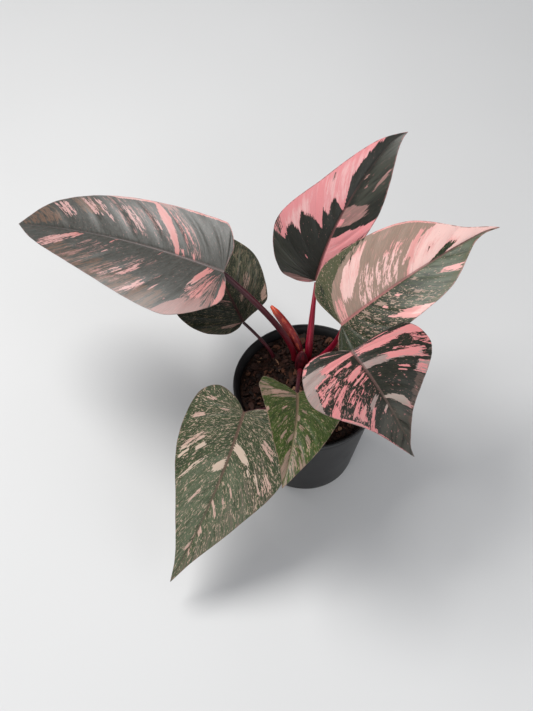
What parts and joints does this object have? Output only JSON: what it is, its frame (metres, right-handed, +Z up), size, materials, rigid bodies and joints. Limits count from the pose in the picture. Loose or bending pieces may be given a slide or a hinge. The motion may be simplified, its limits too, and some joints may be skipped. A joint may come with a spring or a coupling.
{
  "type": "potted pink princess philodendron",
  "caption": "Young vining aroid with broad heart-shaped leaves marbled in pink and dark green, on red petioles, in a round tapered nursery pot of bark compost.",
  "frame": {"origin": "centre of the pot's flat underside, on the ground", "axes": "+Z up, -Y towards the front that the picture shows, +X to the viewer's right"},
  "size_m": [0.3779, 0.3168, 0.2636],
  "materials": {
    "pot": "black moulded plastic, satin",
    "soil": "damp bark chips and fibre, matt",
    "stem": "dark red, satin",
    "petiole": "crimson to dark purple, satin",
    "new_leaf_sheath": "orange red with fine speckles, satin",
    "leaf_left": "grey green flushed with muted pink, satin",
    "leaf_back_left": "dark green with fine pale streaks, satin",
    "leaf_top": "half pink, half dark green, satin",
    "leaf_right": "pale pink and taupe marbled with green, satin",
    "leaf_front_right": "black green with bright pink streaks along the veins, satin",
    "leaf_front_left": "mid green with dense cream pink speckles, satin",
    "leaf_front": "fresh green with pale streaks, satin"
  },
  "bodies": {
    "root": {"pot": "pot", "soil": "soil", "stem": "stem", "new_leaf_sheath": "new_leaf_sheath", "petiole_left": "petiole", "petiole_back_left": "petiole", "petiole_top": "petiole", "petiole_right": "petiole", "petiole_front_right": "petiole", "petiole_front_left": "petiole", "petiole_front": "petiole", "leaf_left": "leaf_left", "leaf_back_left": "leaf_back_left", "leaf_top": "leaf_top", "leaf_right": "leaf_right", "leaf_front_right": "leaf_front_right", "leaf_front_left": "leaf_front_left", "leaf_front": "leaf_front"}
  },
  "joints": []
}
